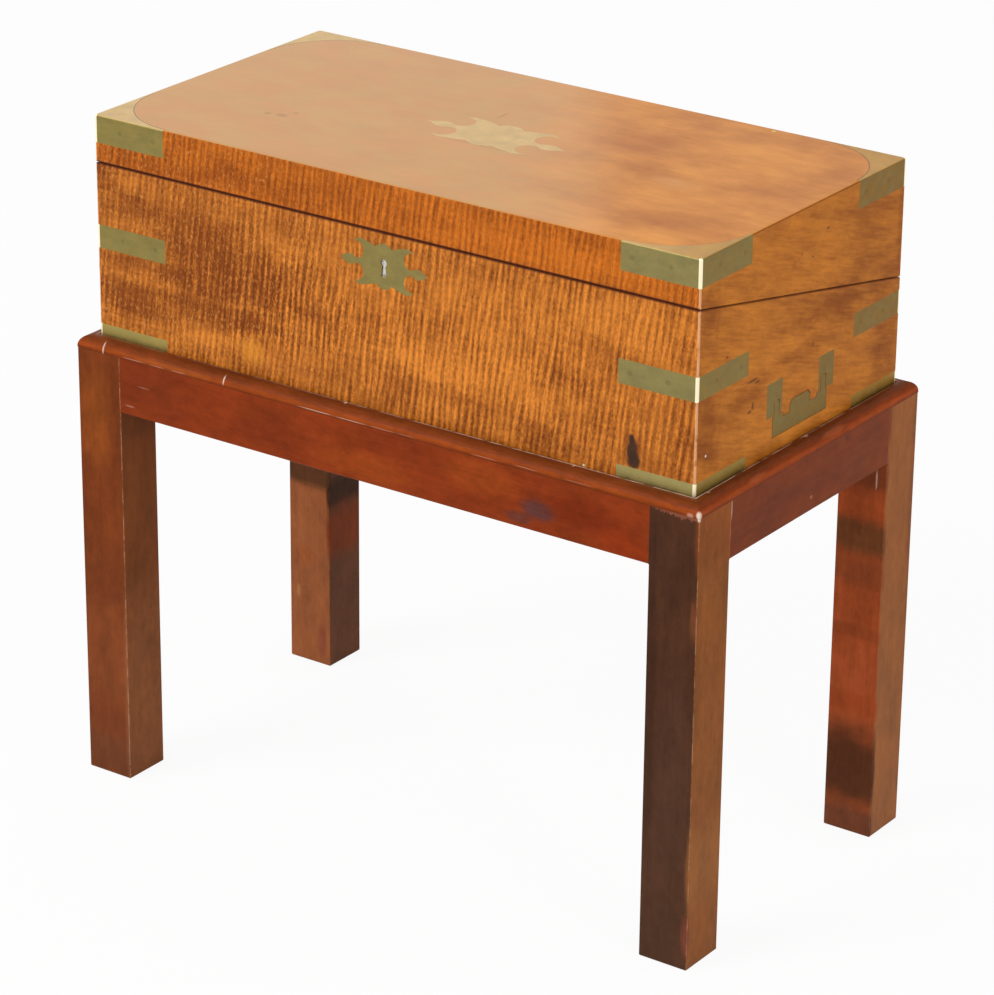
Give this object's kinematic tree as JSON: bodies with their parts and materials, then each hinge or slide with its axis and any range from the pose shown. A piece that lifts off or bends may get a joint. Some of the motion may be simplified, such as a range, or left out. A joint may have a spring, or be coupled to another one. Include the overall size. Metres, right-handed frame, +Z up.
{
  "type": "campaign desk",
  "caption": "Brass-bound wooden writing box with a sloping parting line, flush end handles and a pierced escutcheon, standing loose in the moulded lip of a plain square-legged stand.",
  "frame": {"origin": "on the floor under the middle of the stand", "axes": "+X to the right along the keyhole side, +Y from the keyhole side to the hinges, +Z up"},
  "size_m": [0.532, 0.284, 0.51],
  "materials": {
    "case_wood": "polished camphor or mahogany with a rippled figure, warm orange brown",
    "stand_wood": "polished mahogany, dark red brown, worn arrises",
    "inner_wood": "satin mahogany, plain",
    "brass": "old lacquered brass, rubbed",
    "writing_leather": "dark green skiver, matt",
    "ink_glass": "clear moulded glass"
  },
  "bodies": {
    "stand": {"leg_front_left": "stand_wood", "leg_front_right": "stand_wood", "leg_back_left": "stand_wood", "leg_back_right": "stand_wood", "rail_front": "stand_wood", "rail_back": "stand_wood", "rail_left": "stand_wood", "rail_right": "stand_wood", "lip_front": "stand_wood", "lip_back": "stand_wood", "lip_left": "stand_wood", "lip_right": "stand_wood"},
    "box": {"base_front": "case_wood", "base_back": "case_wood", "base_left_end": "case_wood", "base_right_end": "case_wood", "base_bottom": "inner_wood", "mid_straps_front": "brass", "mid_straps_back": "brass", "foot_straps_front": "brass", "foot_straps_back": "brass", "base_screws": "brass", "keyhole_escutcheon": "brass", "lock_case": "brass", "handle_plates": "brass", "handle_pins": "brass", "handle_screws": "brass", "base_hinge_leaves": "brass", "hinge_pins": "brass", "pen_partition": "inner_wood", "ink_partitions": "inner_wood", "tray_rests": "inner_wood", "pen_tray": "inner_wood", "inkwells": "ink_glass", "inkwell_caps": "brass", "base_flap_ledges": "inner_wood", "base_flap_hinges": "brass"},
    "lid": {"lid_top": "case_wood", "lid_front": "case_wood", "lid_back": "case_wood", "lid_left_end": "case_wood", "lid_right_end": "case_wood", "lid_caps_front": "brass", "lid_caps_back": "brass", "lid_screws": "brass", "lid_cartouche": "brass", "lid_hinge_leaves": "brass", "lock_link_plate": "brass", "lid_flap_ledges": "inner_wood", "lid_flap_hinges": "brass"},
    "lock_bolt": {"lock_bolt": "brass"},
    "handle_right": {"carrying_handle_right": "brass"},
    "handle_left": {"carrying_handle_left": "brass"},
    "base_flap": {"base_flap": "inner_wood", "base_flap_leather": "writing_leather", "base_flap_hinge_leaves": "brass"},
    "lid_flap": {"lid_flap": "inner_wood", "lid_flap_leather": "writing_leather", "lid_flap_hinge_leaves": "brass"},
    "flap_catch": {"flap_catch": "brass"}
  },
  "joints": [
    {"name": "box_lift", "type": "slide", "parent": "stand", "child": "box", "axis": [0, 0, 1], "range_m": [0, 0.12]},
    {"name": "lid_hinge", "type": "hinge", "parent": "box", "child": "lid", "pos_m": [0, 0.1305, 0.423], "axis": [-1, 0, 0], "range_deg": [0, 168]},
    {"name": "handle_right_swing", "type": "hinge", "parent": "box", "child": "handle_right", "pos_m": [0.252, 0, 0.3794], "axis": [0, -1, 0], "range_deg": [0, 90]},
    {"name": "handle_left_swing", "type": "hinge", "parent": "box", "child": "handle_left", "pos_m": [-0.252, 0, 0.3794], "axis": [0, 1, 0], "range_deg": [0, 90]},
    {"name": "lock_bolt_slide", "type": "slide", "parent": "box", "child": "lock_bolt", "axis": [1, 0, 0], "range_m": [0, 0.005]},
    {"name": "base_flap_hinge", "type": "hinge", "parent": "box", "child": "base_flap", "pos_m": [0, 0.10837, 0.42579], "axis": [-1, 0, 0], "range_deg": [0, 42]},
    {"name": "lid_flap_hinge", "type": "hinge", "parent": "lid", "child": "lid_flap", "pos_m": [0, 0.10899, 0.42892], "axis": [1, 0, 0], "range_deg": [0, 34]},
    {"name": "flap_catch_turn", "type": "hinge", "parent": "lid", "child": "flap_catch", "pos_m": [0, -0.11217, 0.47144], "axis": [0, 0.1958, 0.9807], "range_deg": [0, 90]}
  ],
  "couplings": [
    {"joint": "base_flap_hinge", "follows": "lid_hinge", "ratio": 0.25},
    {"joint": "lid_flap_hinge", "follows": "lid_hinge", "ratio": 0.2}
  ]
}
